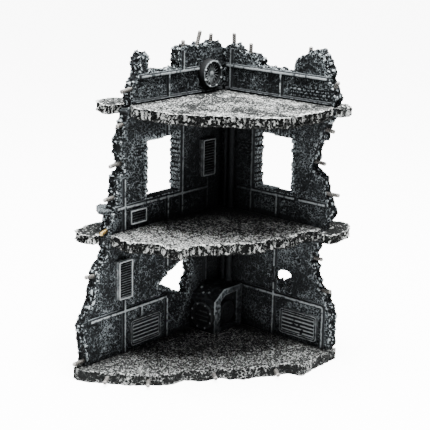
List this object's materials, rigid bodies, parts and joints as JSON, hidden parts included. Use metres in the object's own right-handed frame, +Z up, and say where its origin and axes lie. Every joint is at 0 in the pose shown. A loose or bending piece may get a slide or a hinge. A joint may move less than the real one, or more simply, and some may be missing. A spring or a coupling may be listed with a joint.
{
  "type": "miniature terrain ruin",
  "caption": "Two-wall corner ruin with ragged floors on three levels, framed walls, louvred vents, window openings and bent reinforcing rods.",
  "frame": {"origin": "centre of the underside of the base plate's bounding box, on the table", "axes": "+Z up; the left wall runs along Y at low X and the right wall runs along X at high Y, so the open front faces -Y and +X"},
  "size_m": [0.1238, 0.15, 0.1993],
  "materials": {
    "cast_resin_walls": "matte",
    "cast_resin_floors": "matte",
    "wall_framing": "matte",
    "vents": "matte",
    "steel_rods": "satin",
    "brass_rod": "satin"
  },
  "bodies": {
    "root": {"left_wall_ground": "cast_resin_walls", "left_wall_middle": "cast_resin_walls", "left_wall_top": "cast_resin_walls", "left_course_stub": "cast_resin_walls", "left_frame_ground": "wall_framing", "left_rib_breach": "wall_framing", "left_rib_corner": "wall_framing", "left_frame_middle": "wall_framing", "left_rib_lintel": "wall_framing", "left_frame_top": "wall_framing", "left_vent_ground": "vents", "left_vent_middle": "vents", "left_grille_ground": "vents", "left_grille_middle": "vents", "fan_ring": "vents", "fan_rotor": "vents", "machine_housing": "wall_framing", "left_ground_rod_1": "steel_rods", "left_ground_rod_2": "steel_rods", "left_middle_rod_1": "steel_rods", "left_middle_rod_2": "steel_rods", "left_middle_rod_3": "steel_rods", "brass_rod_1": "brass_rod", "left_top_rod_1": "steel_rods", "left_top_rod_2": "steel_rods", "left_top_rod_3": "steel_rods", "left_top_rod_4": "steel_rods", "right_wall_ground": "cast_resin_walls", "right_wall_middle": "cast_resin_walls", "right_wall_top": "cast_resin_walls", "right_frame_ground": "wall_framing", "right_frame_middle": "wall_framing", "right_rib_lintel": "wall_framing", "right_frame_top": "wall_framing", "right_grille_ground": "vents", "machine_hatch": "vents", "pipe_thin_ground": "steel_rods", "pipe_thin_middle": "steel_rods", "pipe_thick_ground": "steel_rods", "pipe_thick_middle": "steel_rods", "right_ground_rod_1": "steel_rods", "right_ground_rod_2": "steel_rods", "right_middle_rod_1": "steel_rods", "right_middle_rod_2": "steel_rods", "right_middle_rod_3": "steel_rods", "right_top_rod_1": "steel_rods", "right_top_rod_2": "steel_rods", "right_top_rod_3": "steel_rods", "right_top_rod_4": "steel_rods", "base_plate": "cast_resin_floors", "first_floor": "cast_resin_floors", "second_floor": "cast_resin_floors", "left_ledge_first": "cast_resin_floors", "left_ledge_second": "cast_resin_floors", "right_ledge_first": "cast_resin_floors", "right_ledge_second": "cast_resin_floors", "base_rod_1": "steel_rods", "base_rod_2": "steel_rods", "base_rod_3": "steel_rods", "base_rod_4": "steel_rods"}
  },
  "joints": []
}
